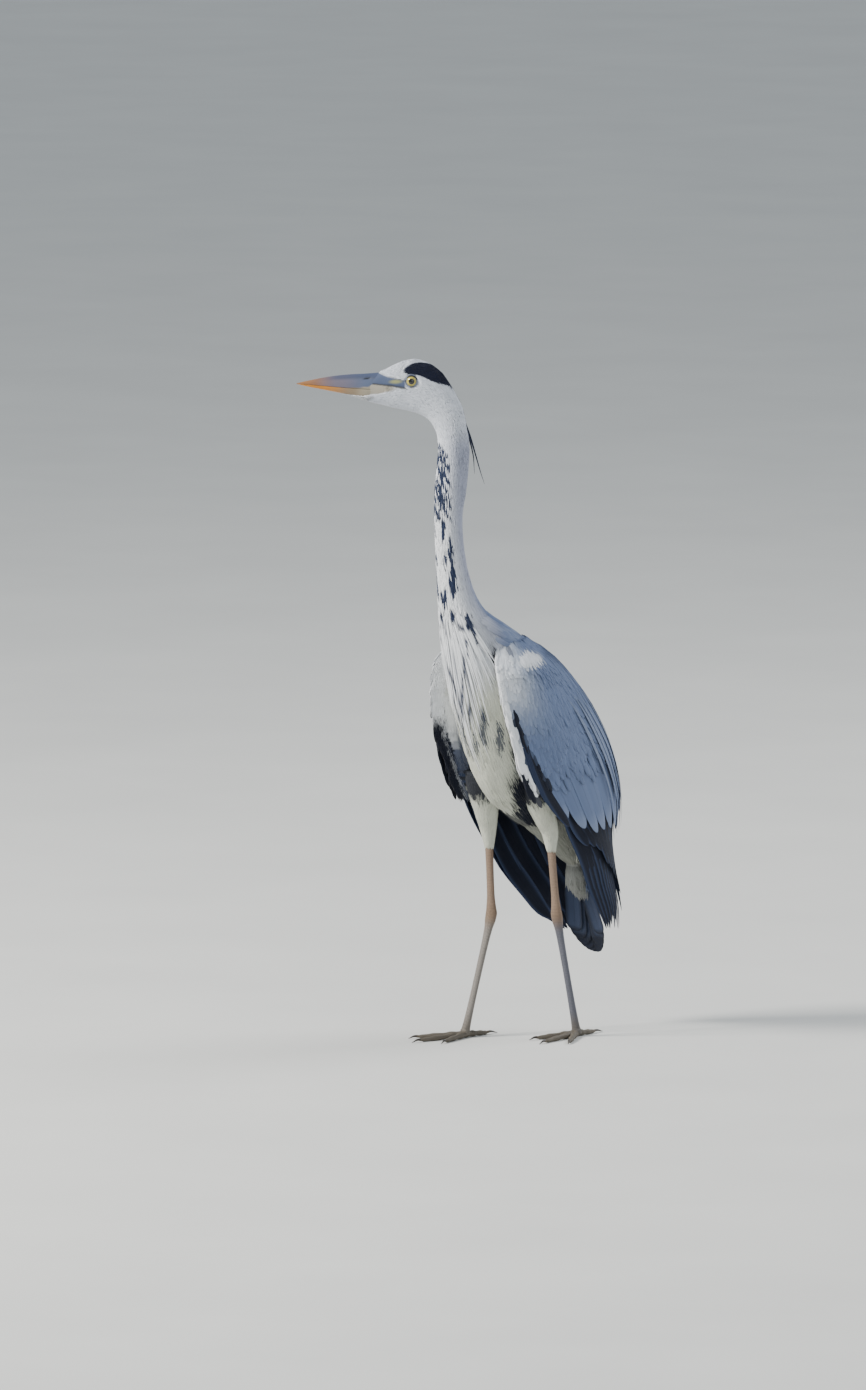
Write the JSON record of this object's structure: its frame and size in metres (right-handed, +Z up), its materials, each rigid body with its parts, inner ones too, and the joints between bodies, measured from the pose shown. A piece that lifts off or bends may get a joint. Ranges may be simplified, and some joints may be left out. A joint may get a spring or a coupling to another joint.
{
  "type": "grey heron figure",
  "caption": "Life-size standing grey heron, neck upright, head turned aside, wings folded, on its own two feet; a still display model.",
  "frame": {"origin": "on the floor under the centre of the bounding box", "axes": "+Z up from the floor to the crown; the body faces -Y and its left side is +X"},
  "size_m": [0.2546, 0.4426, 0.9515],
  "materials": {
    "body_feathers": "soft feathers",
    "neck_feathers": "soft feathers",
    "head_feathers": "short soft feathers",
    "wing_feathers": "smooth feathers",
    "tail_feathers": "smooth feathers",
    "thigh_feathers": "soft feathers",
    "bill": "satin horn",
    "eye": "wet gloss",
    "leg_skin": "scaled skin",
    "claw": "horn"
  },
  "bodies": {
    "root": {"torso": "body_feathers", "neck_lower": "neck_feathers", "neck_middle": "neck_feathers", "neck_upper": "neck_feathers", "head": "head_feathers", "wing_left": "wing_feathers", "wing_right": "wing_feathers", "tail": "tail_feathers", "thigh_left": "thigh_feathers", "thigh_right": "thigh_feathers", "bill_upper": "bill", "bill_lower": "bill", "eye_left": "eye", "eye_right": "eye", "shank_left": "leg_skin", "tarsus_left": "leg_skin", "foot_left": "leg_skin", "claw_left_inner": "claw", "claw_left_middle": "claw", "claw_left_outer": "claw", "claw_left_hind": "claw", "shank_right": "leg_skin", "tarsus_right": "leg_skin", "foot_right": "leg_skin", "claw_right_inner": "claw", "claw_right_middle": "claw", "claw_right_outer": "claw", "claw_right_hind": "claw"}
  },
  "joints": []
}
